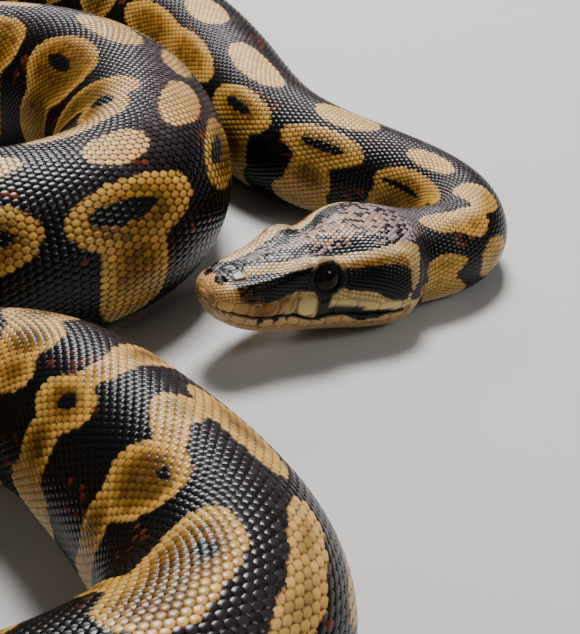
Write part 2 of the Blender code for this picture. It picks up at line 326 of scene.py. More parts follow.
# %% Markings: where the tan is
NECK_MARKS = [(70.3, 17, 3.6, 31), (54.5, 15, 3.2, 8), (58.5, 25, 4.6, 14), (63, 33, 3.2, 22),
              (54.8, 76, 4.4, 13), (54.2, 98, 2.8, 14), (56, 124, 4.4, 28, 0.04), (65.2, 93, 3.1, 27)]
FAR_MARKS = [(84, -60, 12.2, 25), (71, -39, 8, 8), (90, -95, 7.5, 30), (110, -46, 9.7, 21),
             (111.5, -85, 5, 25), (114, -115, 6.5, 25), (131.7, -47.5, 8.8, 22), (131, -85, 5.3, 30),
             (133, -120, 5, 30), (159, -44, 14.2, 18), (181, -50, 15, 20), (165, -100, 9, 45),
             (85, -10, 6.6, 15, -0.12), (109.5, 4, 8.2, 21), (141, 0, 12.4, 17.5), (173, 0, 9, 17)]
MIDDLE_MARKS = [(442, 41, 17, 28), (441, 84, 12, 32), (407, 38, 12, 25), (407, 82, 8, 32),
                (470, 34, 7.2, 37), (482, 18, 10, 16), (500, 15, 12, 8), (406, -12, 8, 9),
                (436, -10, 11.5, 15), (452, -37, 7.5, 13, 0.22), (474.3, -29, 9.9, 14, 0.2),
                (497.5, -18.5, 6.7, 13), (520, -10, 5, 9), (477.5, -67, 9.2, 18), (470, -90, 6, 20),
                (501.5, -59, 10.5, 19.5), (502.8, -100, 5.4, 40), (525.5, -57, 10.2, 21),
                (530, -100, 5, 32)]
NEAR_MARKS = [(831, -7, 13.4, 21), (820, -1, 8, 19, 0.1), (820, -46, 3.5, 30, 0.05), (842, 38.5, 7, 10.5),
              (833, 45, 7, 10.5), (846, 76, 8, 9), (848, 112, 6, 38), (859.2, -30, 9.6, 23),
              (862, -66, 4.8, 22), (862, -110, 7.5, 28), (867, -6, 5, 8), (873, 7, 5.5, 13),
              (868, 34, 14.5, 14), (890, -34, 8.2, 16), (889.5, -62, 5, 20), (889, -98, 8.5, 24),
              (891, -6, 3.3, 18), (894.5, 28, 4.8, 26, 0.05), (908.5, -38, 6.3, 14), (912, -12, 6.6, 21),
              (917, 20, 5.8, 24), (913, -95, 5, 34)]
SPOTS = [(86.5, -59.5, 8, 3.6), (110, -46.5, 5, 5.2), (132.5, -46, 4, 5), (440, 38, 7, 5.5),
         (405, 38, 5, 5), (477, 20, 3, 7.5), (479.5, -61.5, 4.4, 5), (503, -57.5, 5.6, 6.4),
         (523.5, -57, 4.2, 5.5), (833.2, -2.5, 2, 5.2), (857, -21, 2.2, 3.4), (889.5, -33, 2.2, 6)]
HIDDEN_FLANKS = [(-1, 200, 455, 52), (-1, 540, 806, 52), (-1, 928, 1028, 52), (1, 92, 200, 86),
                 (1, 200, 392, 54), (1, 470, 540, 86), (1, 540, 800, 54), (1, 866, 930, 86),
                 (1, 930, 1028, 54)]
HIDDEN_BACK = [(192, 395), (530, 806), (928, 1028)]
MELT, FARTHEST = 0.8, 40
MARK_SEED, EYE_CHANCE, SPUR_CHANCE = 11, 0.75, 0.45
KEYHOLE_STEP, FOOT_LEVEL, LOW_LEVEL = 25, 114, 80


def girth(s):
    """How thick the animal is at a station in mm, compared with its middle."""
    return profile(HALF_WIDTH, s * MM) / (20 * MM)


def hidden_marks():
    """Keyholes, their eyes and saddles for the stretches that lie inside the coil."""
    chance = np.random.default_rng(MARK_SEED)
    marks, spots = [], []
    for side, start, end, level in HIDDEN_FLANKS:
        low_set = level > LOW_LEVEL
        s = start + 9
        while s < end - 6:
            size = girth(s) * chance.uniform(0.85, 1.1)
            angle = side * (level + chance.uniform(-4, 4))
            marks += [(s, angle, 10.5 * size, 17 if low_set else 25),
                      (s + chance.uniform(-2, 2), side * FOOT_LEVEL, 6 * size, 36)]
            if chance.random() < EYE_CHANCE:
                spots.append((s, angle, 4.5 * size, chance.uniform(3.5, 5)))
            if chance.random() < SPUR_CHANCE and not low_set:
                marks.append((s, side * 24, 3.5 * size, 14))
            s += KEYHOLE_STEP * size
    for start, end in HIDDEN_BACK:
        s = start + 7
        while s < end - 4:
            size = girth(s)
            marks.append((s, chance.uniform(-9, 9), chance.uniform(6.5, 10.5) * size,
                          chance.uniform(13, 19)))
            s += chance.uniform(20, 27) * size
    return marks, spots


HIDDEN_MARKS, HIDDEN_SPOTS = hidden_marks()
MARKS = NECK_MARKS + FAR_MARKS + MIDDLE_MARKS + NEAR_MARKS + HIDDEN_MARKS
print("markings:", len(MARKS), "ellipses and", len(SPOTS + HIDDEN_SPOTS), "dark eyes")


def edge_distance(s, angle, marks):
    """Distance in mm to the edge of the melted marks, negative inside. s is in mm and angle in degrees."""
    radius = profile(HALF_WIDTH, s * MM) / MM
    total = np.zeros(np.shape(s))
    for mark in marks:
        where, level, length, spread = mark[:4]
        if where < s.min() - FARTHEST or where > s.max() + FARTHEST:
            continue
        lean = mark[4] if len(mark) > 4 else 0
        turn = (angle - level + 180) % 360 - 180
        reach = np.hypot((s - where - lean * turn) / length, turn / spread)
        away = np.clip((reach - 1) * np.minimum(length, np.radians(spread) * radius), -20, 20)
        total += np.exp(-away / MELT)
    return -MELT * np.log(np.maximum(total, 1e-12))


# %% [markdown]
# ## Colours
#
# Colours are written as the hex values that a painter would read off a chart, and one function turns them
# linear, because Blender computes light in linear values. The body is near-black with a grey tone on the
# back, partly painted sheen. Tan marks are golden at their rim, browner inside, peach on the back and cream
# towards the belly.

# %% Colours


def linear(hex_colour):
    """An sRGB hex colour as linear red, green and blue."""
    values = np.array([int(hex_colour[i:i + 2], 16) / 255 for i in (1, 3, 5)])
    return np.where(values <= 0.04045, values / 12.92, ((values + 0.055) / 1.055) ** 2.4)


INK, BACK_GREY_AND_SHEEN, REDDISH_GLINT = map(linear, ("#090706", "#74666a", "#7a3420"))
GOLD, RIM, BROWN = map(linear, ("#8c621d", "#c49443", "#4c300c"))
PEACH, FOOT, CREAM = map(linear, ("#ecbd7e", "#aa8643", "#dcc795"))
BACK_GREY_AND_SHEEN_SHARE = [(40, 0.6), (230, 0.5), (300, 0.5), (380, 0.9), (470, 0.8), (510, 0.25), (780, 0.12),
               (1038, 0.3)]
PEACH_SHARE = [(760, 0.85), (820, 0.3)]
DORSAL_TURN = [(0, 0), (205, 0), (345, -16), (450, -16), (495, -8), (555, -6), (635, 0), (755, 14),
               (835, 30), (880, 24), (925, 14), (975, 0), (1038, 0)]


def mix(first, second, share):
    return first + (second - first) * np.clip(share, 0, 1)[..., None]


def over(colour, where, paint):
    """The colour, with paint over it at the places given."""
    return np.where(where[..., None], paint, colour)


def between(s, border):
    """The value of a border or a share at a station, on straight lines through its list."""
    return np.interp(s, *np.array(border, float).T)


def body_colour(s, angle, luck):
    """The colour of the neck, trunk and tail. luck is a random number from 0 to 1 for each place."""
    level = np.abs((angle - between(s, DORSAL_TURN) + 180) % 360 - 180)
    inside = -edge_distance(s, angle, MARKS)
    # Grey on the back: partly the animal's own tone, partly painted sheen.
    ground = mix(INK, BACK_GREY_AND_SHEEN, between(s, BACK_GREY_AND_SHEEN_SHARE) * bell(level, 0, 26) * (0.4 + 0.6 * luck))
    # Reddish flecks on the dark scales of the flanks: painted glints, a painted reflection.
    wave = np.sin(s / 4.3) * np.sin(angle / 11 + s / 17)
    reddish_glints = (wave > 0.45) & (level > 20) & (level < 110) & (luck > 0.7)
    ground = np.where(reddish_glints[..., None], REDDISH_GLINT * (2.2 * luck[..., None] - 1.4), ground)
    tan = mix(GOLD, RIM, bell(inside, 0.8, 1.2))
    tan = mix(tan, BROWN, 0.75 * smooth_step(2, 6, inside) * bell(level, 74, 38) * (0.6 + 0.8 * luck))
    tan = mix(tan, BROWN, 0.55 * (luck > 0.8) * smooth_step(1.2, 2.5, inside))
    peach = between(s, PEACH_SHARE)
    tan = mix(tan, PEACH, peach * (1 - smooth_step(16, 38, level)))
    tan = mix(tan, BROWN, (0.85 - peach) * smooth_step(1.5, 5, inside) * (0.9 + 0.6 * luck))
    tan = mix(tan, FOOT, smooth_step(84, 108, level))
    tan = mix(tan, CREAM, smooth_step(112, 138, level))
    colour = np.where((inside > 0)[..., None], tan, ground)
    eye = edge_distance(s, angle, SPOTS + HIDDEN_SPOTS)
    colour = over(colour, eye < 0, INK * 1.4)
    belly = smooth_step(148, 153, level + 4 * (luck - 0.5))
    return mix(colour, CREAM, belly)


# %% [markdown]
# ## The head's own colours
#
# The top of the head is a speckled mauve-grey. A tan stripe runs on each side from the snout over the eye
# to the temple, where it turns down to the corner of the jaw. Below it lies a black mask through the eye,
# then tan upper lips with a black bar under the eye, and peach lower lips. Each border is a short list of
# stations and angles, and everything is the same on both sides. The nostrils and the eyes are placed here
# too, because the colours follow them.

# %% The head's own colours
STRIPE_TOP = [(2, 33), (5, 32), (6.6, 26), (8, 15), (9.4, 15), (11.2, 17), (13.2, 17), (14.9, 20),
              (16.4, 22), (19.2, 25), (20.5, 29), (22.2, 31), (26.8, 32), (28.9, 34), (32.8, 37), (35, 37),
              (39.5, 34), (41.5, 36), (43, 40)]
STRIPE_FOOT = [(4, 20), (6.1, 28), (7.5, 33), (9.8, 33), (11.5, 35), (13.1, 39), (14.5, 43), (20, 43),
               (25.5, 51), (28, 53), (32.6, 54), (36.8, 55), (37.9, 57), (39.1, 61), (39.6, 67), (40.1, 82)]
BEND_OUTSIDE = [(36, 43.7), (41, 43.7), (50, 42.9), (64, 42), (73, 41.8), (79, 41.3), (83, 40.4)]
MASK_FRONT = [(20, 4.0), (31, 4.1), (47, 4.2), (64, 4.6), (77, 5.8), (85, 7.2)]
MASK_FOOT = [(8, 76), (10, 80), (11.4, 76), (13.5, 72), (16, 68), (17.7, 70), (19.1, 72), (20.4, 78),
             (20.8, 112), (23.4, 112), (23.5, 79), (25, 73), (26.7, 77), (28.6, 79), (30.6, 80), (32.8, 83),
             (34.6, 87), (36.6, 90), (38.7, 90), (40, 84)]
LENS_TOP = [(23.6, 90), (24.7, 93), (28.5, 94), (30.6, 95.5), (34.8, 97.5), (38, 99)]
LENS_FOOT = [(21, 108), (23, 107), (24.8, 102), (26.1, 102.5), (28.6, 109), (30.2, 113), (31.6, 113),
             (34.4, 110), (38, 99)]
LENS_ENDS = (20.8, 38)
NOTCHES = [(9.2, 0.8, 17), (12.3, 0.7, 14), (14.6, 0.6, 10)]
DISC, DISC_LONG, DISC_TALL = (18.4, 88), 2.05, 13
MUZZLE_TURN, MUZZLE_TURN_ENDS = 11, (7, 21)
MAUVE, ROSE, SPECKLE, NAPE_GREY_AND_SHADOW = map(linear, ("#9f8f94", "#cf9f7f", "#1f191b", "#5c5050"))
STRIPE, HONEY, SNOUT, TIP = map(linear, ("#e8c389", "#875712", "#59340a", "#d9a768"))
LIP, CHIN, LIP_BAND, BLACK_AND_SHADE = map(linear, ("#b99563", "#cbb083", "#d0b478", "#0c0705"))
NOSTRIL_STATION, NOSTRIL_ANGLE, NOSTRIL_SIZE = 3.1 * MM, 20.0, 0.55 * MM
EYE_STATION, EYE_ANGLE = 22.0 * MM, math.radians(57.5)
EYE_RADIUS, EYE_DEPTH, EYE_SIGHT = 3.75 * MM, 2.8 * MM, 2.85 * MM


def nostril_distance(s, angle):
    """How far a place is from the nearer nostril, in metres along the surface."""
    turn = np.degrees((angle + math.pi) % (2 * math.pi) - math.pi) + MUZZLE_TURN
    return np.hypot(s - NOSTRIL_STATION, np.radians(np.abs(turn) - NOSTRIL_ANGLE) * 5.5 * MM)


def eye_frame(side):
    """The middle of the eye and its outward direction, for +1 the left or -1 the right."""
    place = (np.array(EYE_STATION), np.array(side * EYE_ANGLE))
    out = patch(*place, 4 * MM, math.radians(20))[3]
    return surface(*place) - out * EYE_DEPTH, out


EYE_FRAMES = [eye_frame(1), eye_frame(-1)]


def eye_distance(s, angle):
    """How far a place is from the axis of the nearer eye, in metres."""
    nearest = np.inf
    for middle, outward in EYE_FRAMES:
        away = surface(s, angle) - middle
        depth = away @ outward
        across = np.linalg.norm(away - depth[..., None] * outward, axis=-1)
        nearest = np.minimum(nearest, np.where((depth > 0) & (s < JAW_HINGE), across, 1.0))
    return nearest


def crown_colour(s, angle, luck):
    """The speckled top of the head: mauve, rosy in the middle, netted with dark beside the stripe."""
    side = np.abs(angle)
    base = mix(MAUVE, ROSE, bell(s, 31, 8) * bell(angle, 2, 20) + 0.35 * (luck * 13.7 % 1))
    net = bell(s, 31, 6.5) * bell(side, 27, 7) + 0.7 * bell(s, 19.5, 3.5) * bell(side, 17, 9)
    net += 1.2 * bell(s, 6, 2.6) * bell(side, 0, 24) + 0.7 * bell(between(s, STRIPE_TOP) - side, 1, 2.5)
    dark = luck < 0.27 + 0.8 * net
    grain = (0.5 + 0.6 * (luck * 7.3 % 1)) * (1 - 0.6 * bell(s, 7, 3.5))
    return np.where(dark[..., None], SPECKLE, base * grain[..., None])


def head_colour(s, angle, luck):
    """The colour of the head at a station in mm and an angle in degrees, the same on both sides."""
    fade = (1 - smooth_step(*MUZZLE_TURN_ENDS, s)) * (1 - smooth_step(50, 80, np.abs(angle)))
    upper = np.abs(angle + MUZZLE_TURN * fade)
    side = np.abs(angle)
    mouth = lip_level(s)
    # Behind the crown the head fades to a brown-grey that is partly painted shadow.
    colour = mix(crown_colour(s, angle + MUZZLE_TURN * fade, luck), NAPE_GREY_AND_SHADOW, smooth_step(43, 50, s))
    top, foot = between(s, STRIPE_TOP), between(s, STRIPE_FOOT)
    down = (upper - top) / np.maximum(foot - top, 1)
    low = smooth_step(0.3, 0.75, down) * (0.35 + 0.65 * smooth_step(14, 26, s))
    stripe = mix(STRIPE, HONEY, 0.85 * low + 0.3 * luck ** 2)
    colour = over(colour, upper > top, stripe)
    mask = mix(INK, SNOUT, (1 - smooth_step(4, 11, s)) * (luck > 0.7))
    in_mask = (upper > foot) & (s > between(side, MASK_FRONT))
    colour = over(colour, in_mask, mask)
    band = smooth_step(9, 19, s) * (0.5 + 0.5 * bell(side, 104, 18))
    lips = mix(mix(HONEY, SNOUT, 0.6 * luck), LIP_BAND, band)
    # Dark flecks on the front of the upper lip: painted shade of the heat pits.
    pit_shade_flecks = (np.sin(s * 5.3) * np.sin(angle / 2.9) > 0.3) & (s < 16)
    lips = mix(lips, SNOUT * 0.6, 0.6 * pit_shade_flecks)
    colour = over(colour, (side > between(s, MASK_FOOT)) & (s > 7), lips)
    bend = (s > 39) & (s < between(side, BEND_OUTSIDE)) & (side > top) & (side < 84)
    colour = over(colour, bend & ~in_mask, mix(STRIPE, HONEY, 0.35 + 0.3 * luck))
    # Behind the stripe's bend the side of the neck is painted near-black: partly its dark patch, partly
    # painted shadow.
    behind = (s > between(side, BEND_OUTSIDE)) & (side > 34) & (side < 92)
    colour = over(colour, behind, NAPE_GREY_AND_SHADOW * 0.2)
    nose = mix(TIP, SNOUT, smooth_step(2.2, 5.5, s) * (0.6 + 0.4 * luck) + 0.1 * luck)
    on_nose = (s < between(side, MASK_FRONT)) & (side < mouth) & ((upper > foot) | (s < 3.2))
    colour = over(colour, on_nose, nose)
    disc = np.hypot((s - DISC[0]) / DISC_LONG, (side - DISC[1]) / DISC_TALL)
    colour = mix(colour, SNOUT * 0.3, 0.9 * bell(disc, 1.15, 0.13) * (side > 78))
    below = side > mouth
    jaw = mix(LIP, CHIN, smooth_step(mouth + 18, mouth + 50, side))
    colour = over(colour, below, jaw)
    lens = (side > between(s, LENS_TOP)) & (side < between(s, LENS_FOOT))
    lens &= (s > LENS_ENDS[0]) & (s < LENS_ENDS[1])
    for where, half, reach in NOTCHES:
        lens |= (np.abs(s - where) < half * (1 - (side - mouth) / reach)) & below
    # Painted shade: the line where the lips meet, each nostril and a ring about each eye are painted
    # near-black, like the real black wedge and notches.
    seam = (np.abs(side - mouth) < 2.2) & (s < 40)
    nostril_shade = nostril_distance(s * MM, np.radians(angle)) < 1.2 * MM
    socket = eye_distance(s * MM, np.radians(angle)) < EYE_SIGHT + 0.55 * MM
    return np.where((lens | seam | nostril_shade | socket)[..., None], BLACK_AND_SHADE, colour)


def animal_colour(s, angle, luck):
    """The colour anywhere: the head's, giving way to the body's behind the jaw."""
    s, angle, luck = np.broadcast_arrays(s, (angle + 180) % 360 - 180, luck)
    colour = body_colour(s, angle, luck)
    front = s < 54
    share = smooth_step(48, 52, s[front] + 3 * (luck[front] - 0.5))
    colour[front] = mix(head_colour(s[front], angle[front], luck[front]), colour[front], share)
    return colour


# %% [markdown]
# ## Finishes
#
# Snake scales are keratin, like a fingernail: smooth, with a satin shine and an index of refraction of about
# 1.55. The pattern rides on each vertex as a colour attribute, so one material serves every scale. Noise at
# the size of real mottling, a few millimetres, varies the colour and the shine a little. One helper adds a
# node with its settings and links.

# %% Finishes


def add_node(tree, kind, settings=None, **links):
    """A node of a material, with its settings and with values or other nodes' outputs on its inputs."""
    node = tree.nodes.new(kind)
    for name, value in (settings or {}).items():
        setattr(node, name, value)
    for name, value in links.items():
        socket = node.inputs[int(name[1:]) if name[1:].isdigit() else name.replace("_", " ")]
        if isinstance(value, bpy.types.NodeSocket):
            tree.links.new(value, socket)
        else:
            socket.default_value = value
    return node


def new_finish(name, **values):
    """A material with one Principled shader, whose plain values are set on its own sockets."""
    finish = bpy.data.materials.new(name)
    finish.use_nodes = True
    shader = finish.node_tree.nodes["Principled BSDF"]
    for socket, value in values.items():
        shader.inputs[socket.replace("_", " ")].default_value = value
    return finish, finish.node_tree, shader


def painted_keratin(name, shine, dim):
    """Keratin over the painted markings: satin, mottled a little at 3 mm, its roughness varied at 0.8 mm."""
    finish, tree, shader = new_finish(name, IOR=1.55, Specular_IOR_Level=0.2)
    place = add_node(tree, "ShaderNodeTexCoord").outputs["Object"]
    paint = add_node(tree, "ShaderNodeAttribute", {"attribute_name": "markings"}).outputs["Color"]
    mottle = add_node(tree, "ShaderNodeTexNoise", None, Vector=place, Scale=1 / (3 * MM), Detail=3.0)
    shade = add_node(tree, "ShaderNodeMapRange", None, Value=mottle.outputs["Fac"], To_Min=dim * 0.75,
                     To_Max=dim * 1.25)
    grey = add_node(tree, "ShaderNodeCombineColor", None, Red=shade.outputs[0], Green=shade.outputs[0],
                    Blue=shade.outputs[0])
    tinted = add_node(tree, "ShaderNodeMix", {"data_type": "RGBA", "blend_type": "MULTIPLY"},
                      _0=1.0, _6=paint, _7=grey.outputs[0])
    tree.links.new(tinted.outputs[2], shader.inputs["Base Color"])
    wear = add_node(tree, "ShaderNodeTexNoise", None, Vector=place, Scale=1 / (0.8 * MM), Detail=2.0)
    rough = add_node(tree, "ShaderNodeMapRange", None, Value=wear.outputs["Fac"], To_Min=shine - 0.08,
                     To_Max=shine + 0.12)
    tree.links.new(rough.outputs[0], shader.inputs["Roughness"])
    return finish


SCALE_FINISH = painted_keratin("keratin_scales", 0.23, 1.0)
SKIN_FINISH = painted_keratin("skin_between_scales", 0.5, 0.55)

# %% [markdown]
# ## Putting a piece into the model
#
# Every finished piece is one mesh at the origin that rides on the frame. Its markings are written as a colour
# attribute, and each coat piece also gets a flat map of the animal's own surface: the body unrolled in three
# strips, one above the other, so that a patch there is as wide as it is long.

# %% Putting a piece into the model
STRIPS = 3
STRIP_LENGTH = 1040 / STRIPS
LARGEST = 200000


def unrolled(s, angle):
    """A place on the unrolled skin, as u and v from 0 to 1. s is in mm and angle in degrees."""
    strip = np.floor(s / STRIP_LENGTH)
    return np.stack((s / STRIP_LENGTH - strip, (strip + ((angle + 180) % 360) / 360) / STRIPS), -1)


def finish_piece(name, mesh, finish):
    """An object for a finished mesh, smooth, riding on the frame, with its material."""
    mesh.shade_smooth()
    mesh.materials.append(finish)
    piece = add_object(name, mesh)
    triangles = sum(len(face.vertices) - 2 for face in mesh.polygons)
    if triangles > LARGEST:
        raise ValueError(name + " has too many triangles")
    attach(piece, "root")
    print(name, "has", triangles, "triangles")
    return piece


def mesh_of(form, name):
    """A mesh made from a finished form."""
    mesh = bpy.data.meshes.new(name)
    form.to_mesh(mesh)
    form.free()
    return mesh


def paint(mesh, colours):
    """Writes one linear colour for each vertex."""
    attribute = mesh.color_attributes.new("markings", "FLOAT_COLOR", "POINT")
    attribute.data.foreach_set("color", np.c_[colours, np.ones(len(colours))].astype(np.float32).ravel())


# %% [markdown]
# ## The skin
#
# The skin starts as one flat grid, which is bent into the tube: rows of the grid become rings of the body.
# On the head the rings are closer, and some columns gather along the mouth, so that the lips part in a clean
# groove. The skin lies under the outline by the thickness of the scales. Around each eye it rises to a rim
# and then falls away, so that the eye shows.

# %% The skin
COLUMNS = 96
HEAD_RING, BODY_RING, TAIL_TIP = 0.5 * MM, 1.55 * MM, 1037.8 * MM


def coat_depth(s):
    """How far the skin lies under the outer surface: the thickness of the scales there."""
    return np.interp(s / MM, (0, 6, 45, 90, 960, 1038), (0.14, 0.18, 0.25, 0.42, 0.38, 0.12)) * MM


def columns_at(s):
    """The angles of the columns at each station, gathered along the mouth on the head."""
    even = np.linspace(0, 1, COLUMNS // 2 + 1)[None, :]
    mouth = mouth_angle(np.clip(s, LIP_START, JAW_HINGE + 6 * MM))[:, None]
    gathered = np.where(even < 0.6, 1 - (1 - even / 0.6) ** 1.8, 1 + ((even - 0.6) / 0.4) ** 1.8)
    half = np.where(even < 0.6, gathered * mouth, mouth + (gathered - 1) * (math.pi - mouth))
    plain = smooth_step(44 * MM, 56 * MM, s)[:, None]
    half = half * (1 - plain) + even * math.pi * plain
    return np.concatenate((half, 2 * math.pi - half[:, -2::-1]), 1)


def skin_lift(s, angle):
    """How far each point of the skin moves outwards from its plain depth."""
    height = section(s, angle)[1] - profile(MOUTH_LEVEL, s)
    lips = smooth_step(LIP_START * 0.6, 2 * MM, s)
    lips = lips * (1 - smooth_step(JAW_HINGE - 4 * MM, JAW_HINGE + 1 * MM, s))
    across = eye_distance(s, angle)
    rim = 0.45 * MM * bell(across, EYE_SIGHT + 0.55 * MM, 0.6 * MM)
    socket = 1.6 * MM * (1 - smooth_step(EYE_SIGHT - 0.5 * MM, EYE_SIGHT + 0.05 * MM, across))
    groove = 0.75 * MM * lips * bell(height, 0, 0.28 * MM)
    return rim - socket - groove - 0.9 * MM * bell(nostril_distance(s, angle), 0, NOSTRIL_SIZE)


def make_skin():
    rings = np.r_[np.arange(0, 56 * MM, HEAD_RING), np.arange(56 * MM, TAIL_TIP, BODY_RING), TAIL_TIP]
    form = bmesh.new()
    bmesh.ops.create_grid(form, x_segments=COLUMNS, y_segments=len(rings) - 1, size=1.0)
    s = np.repeat(rings, COLUMNS + 1)
    angle = columns_at(rings).ravel()
    there, _, _, out = patch(s, angle)
    tip = np.sqrt(1 - np.clip((s - TAIL_TIP + 3 * MM) / (3.05 * MM), 0, 1) ** 2)
    centre = (surface(s, 0 * s) + surface(s, 0 * s + math.pi)) / 2
    place = there + out * (skin_lift(s, angle) - coat_depth(s))[:, None]
    place = centre + (place - centre) * tip[:, None]
    form.verts.ensure_lookup_table()
    for vert, point in zip(form.verts, place):
        vert.co = point
    seam = [vert for vert in form.verts if vert.index % (COLUMNS + 1) in (0, COLUMNS)]
    doubles = [vert for vert in seam if vert.index % (COLUMNS + 1) == COLUMNS]
    firsts = [form.verts[vert.index - COLUMNS] for vert in doubles]
    bmesh.ops.weld_verts(form, targetmap=dict(zip(doubles, firsts)))
    rims = [edge for edge in form.edges if edge.is_boundary]
    ends = bmesh.ops.holes_fill(form, edges=rims, sides=0)["faces"]
    bmesh.ops.poke(form, faces=ends)
    bmesh.ops.recalc_face_normals(form, faces=form.faces)
    mesh = mesh_of(form, "skin")
    kept = np.arange(len(s)) % (COLUMNS + 1) != COLUMNS
    return mesh, np.r_[s[kept], rings[0], rings[-1]], np.r_[angle[kept], 0, 0]


skin_mesh, skin_s, skin_angle = make_skin()
print("skin:", len(skin_mesh.vertices), "points")

# %% [markdown]
# The finished skin takes the place of all the flesh solids of the frame. Its colour is the colour of the
# markings, darker, because skin between scales lies in their shade.

# %% The skin, painted
SKIN_SEED = 3
skin_luck = np.random.default_rng(SKIN_SEED).random(len(skin_mesh.vertices))
paint(skin_mesh, animal_colour(skin_s / MM, np.degrees(skin_angle), skin_luck))
skin = finish_piece("skin", skin_mesh, SKIN_FINISH)
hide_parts(*FLESH)

# %% [markdown]
# ## One small scale
#
# A python's back is covered in smooth scales, each a rounded diamond that is rooted in front and free at its
# rear tip, where it lies over the next ones. One scale is made here as a circle with an inset ring and a
# middle point, 18 triangles in all, then pulled into shape. Its rim is sunk into the skin at the root and
# lifts towards the tip, and its middle is domed, which gives each scale its own small highlight.

# %% One small scale
CORNERS, INSET = 6, 0.33
ROOT_REACH, TIP_REACH, SIDE_REACH = 0.68, 0.95, 0.57
POINTEDNESS = 1.35
RIM_SHADE = (0.36, 0.3, 0.24)


def shape_of(form):
    """The points of a finished form and its triangles, as arrays."""
    place = np.array([vert.co for vert in form.verts])
    triangles = np.array([[vert.index for vert in face.verts] for face in form.faces])
    form.free()
    return place, triangles


def small_scale():
    """Columns of along, around and height, the shade of each point, and the triangles."""
    form = bmesh.new()
    bmesh.ops.create_circle(form, cap_ends=True, segments=CORNERS, radius=1.0)
    bmesh.ops.inset_region(form, faces=form.faces, thickness=INSET, use_boundary=True)
    bmesh.ops.poke(form, faces=[face for face in form.faces if len(face.verts) == CORNERS])
    bmesh.ops.triangulate(form, faces=form.faces)
    place, triangles = shape_of(form)
    reach = np.hypot(place[:, 0], place[:, 1])
    direction = place[:, :2] / np.maximum(reach, 1e-6)[:, None]
    blunt = (np.abs(direction) ** POINTEDNESS).sum(1) + (reach < 1e-4)
    flat = direction * (reach / blunt ** (1 / POINTEDNESS))[:, None]
    u = flat[:, 0] * np.where(flat[:, 0] > 0, TIP_REACH, ROOT_REACH)
    back = (u + ROOT_REACH) / (ROOT_REACH + TIP_REACH)
    rim = reach > 0.9
    height = np.where(rim, 0.02 + 0.74 * back ** 1.2, 0.38 + 0.55 * back)
    shade = np.where(rim[:, None], RIM_SHADE, (0.92 + 0.2 * back)[:, None])
    return np.c_[u, flat[:, 1] * SIDE_REACH, height], shade, triangles


SCALE, SCALE_SHADE, SCALE_TRIANGLES = small_scale()
print("one scale:", len(SCALE), "points,", len(SCALE_TRIANGLES), "triangles")

# %% [markdown]
# ## Where the small scales sit
#
# Scales stand in rings, each ring shifted by half a scale, like bricks. The gap between rings and between
# neighbours is small on the head, grows along the neck and shrinks again on the tail. Rows are counted from
# the middle of the back, and at the belly they give way to one broad scale for every three rings.

# %% Where the small scales sit
RING_GAP = [(0, 0.8), (20, 0.85), (44, 0.9), (60, 0.94), (120, 1.1), (200, 1.2), (400, 1.28), (700, 1.38),
            (860, 1.42), (900, 1.36), (960, 1.12), (1000, 0.9), (1038, 0.65)]
ROW_GAP = [(0, 0.85), (20, 0.9), (44, 1.0), (60, 1.05), (120, 1.25), (200, 1.42), (400, 1.52), (700, 1.63),
           (860, 1.68), (900, 1.58), (960, 1.3), (1000, 1.0), (1038, 0.65)]
BELLY_START, BELLY_HALF = 46, 27.0
CHIN_END = 52
LAST_RING = 1036


def small_scale_places():
    """Rings of small scales: station in mm, angle in radians, and each one's length in m and width in rad."""
    rows = []
    s, shifted = 0.25, False
    turns = np.linspace(-math.pi, math.pi, 33)[:-1]
    while s < LAST_RING:
        _, along, around, _ = patch(np.full(32, s * MM), turns, 0.1 * MM)
        stretch = np.linalg.norm(along, axis=1).mean() if s < 4 else 1.0
        gap = between(s, RING_GAP) / max(stretch, 1.0)
        step = between(s, ROW_GAP) * MM / np.linalg.norm(around, axis=1).mean()
        reach = math.pi - math.radians(BELLY_HALF) * smooth_step(BELLY_START, CHIN_END, s)
        count = int(reach / step) + 1
        angles = (np.arange(-count, count + 1) + 0.5 * shifted) * step
        angles = angles[np.abs(angles) < reach - 0.2 * step]
        rows.append(np.c_[np.full(len(angles), s), angles, np.full(len(angles), gap * MM),
                          np.full(len(angles), step)])
        s, shifted = s + gap, not shifted
    return np.concatenate(rows)


places = small_scale_places()
print("places for small scales:", len(places))

# %% [markdown]
# ## Plates
#
# The larger scales, on the head, the lips and the belly, are plates. A plate is a square grid with rounded
# corners, a sunk rim and a slightly crowned middle. It is laid on the body between four corners, each given
# by a station and an angle, and every point of it follows the surface. Front corners come first.

# %% Plates
PLATE_CELLS = 6


def plate_shape():
    """A rounded square from -1 to 1 with a height and a shade for each point, and its triangles."""
    form = bmesh.new()
    bmesh.ops.create_grid(form, x_segments=PLATE_CELLS, y_segments=PLATE_CELLS, size=1.0)
    bmesh.ops.triangulate(form, faces=form.faces)
    place, triangles = shape_of(form)
    x, y = (np.sign(line) * np.abs(line) ** 0.7 for line in place[:, :2].T)
    edge = np.maximum(np.abs(x), np.abs(y))
    height = np.where(edge > 0.99, -0.15, 0.6 + 0.3 * (1 - edge ** 2) + 0.12 * x)
    shade = np.where(edge > 0.99, 0.5, 1.0)
    rounded = np.c_[x * np.sqrt(1 - 0.24 * y ** 2), y * np.sqrt(1 - 0.24 * x ** 2)]
    return rounded, height, shade, triangles


PLATE, PLATE_HEIGHT, PLATE_SHADE, PLATE_TRIANGLES = plate_shape()


def spread_plates(corners):
    """The stations in mm and angles in degrees of every point of every plate, from its four corners."""
    corners = np.asarray(corners, float)
    x, y = (PLATE[:, k] / 2 + 0.5 for k in range(2))
    weights = np.stack(((1 - x) * (1 - y), (1 - x) * y, x * y, x * (1 - y)))
    return np.einsum("kp,nkc->npc", weights, corners)
